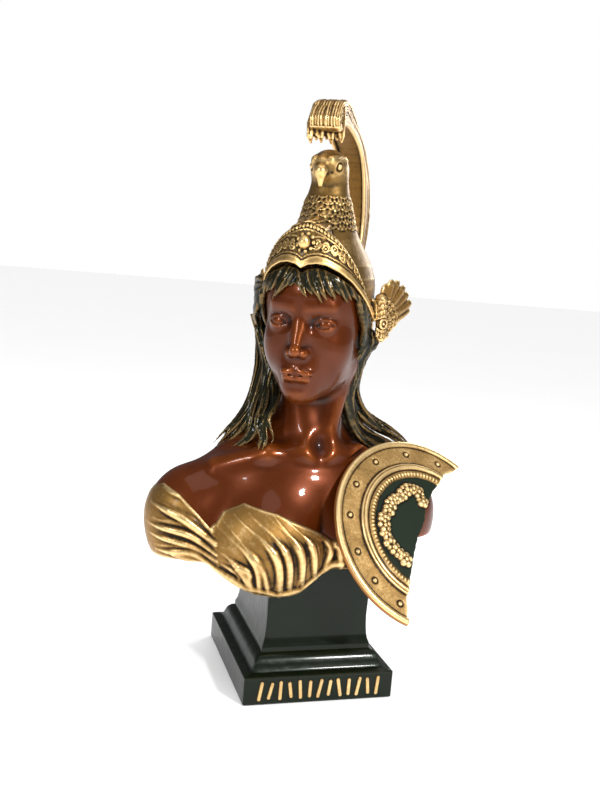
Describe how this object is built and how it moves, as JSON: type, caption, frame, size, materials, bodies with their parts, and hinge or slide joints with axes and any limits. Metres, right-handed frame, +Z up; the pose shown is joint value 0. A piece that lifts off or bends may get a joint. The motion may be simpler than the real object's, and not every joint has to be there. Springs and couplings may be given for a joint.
{
  "type": "bust statue",
  "caption": "Cast bust of a woman in a winged helmet with a bird's head and tall crest, draped, with a broken round shield, on a stepped plinth; stands on its underside",
  "frame": {"origin": "centre of the plinth's underside", "axes": "+Z up; the plinth's inscribed side faces -Y; +X to the figure's left"},
  "size_m": [0.4747, 0.3381, 0.8351],
  "materials": {
    "brown_bronze": "bronze with a glossy red-brown patina; green-black on the hair and gilded on the cloth",
    "gilt_bronze": "antique gilding with dark recesses",
    "dark_bronze": "bronze with a green-black patina, semi-gloss"
  },
  "bodies": {
    "root": {"plinth": "dark_bronze", "figure": "brown_bronze", "helmet": "gilt_bronze", "crest": "gilt_bronze", "wing_left": "gilt_bronze", "wing_right": "gilt_bronze", "shield": "gilt_bronze"}
  },
  "joints": []
}
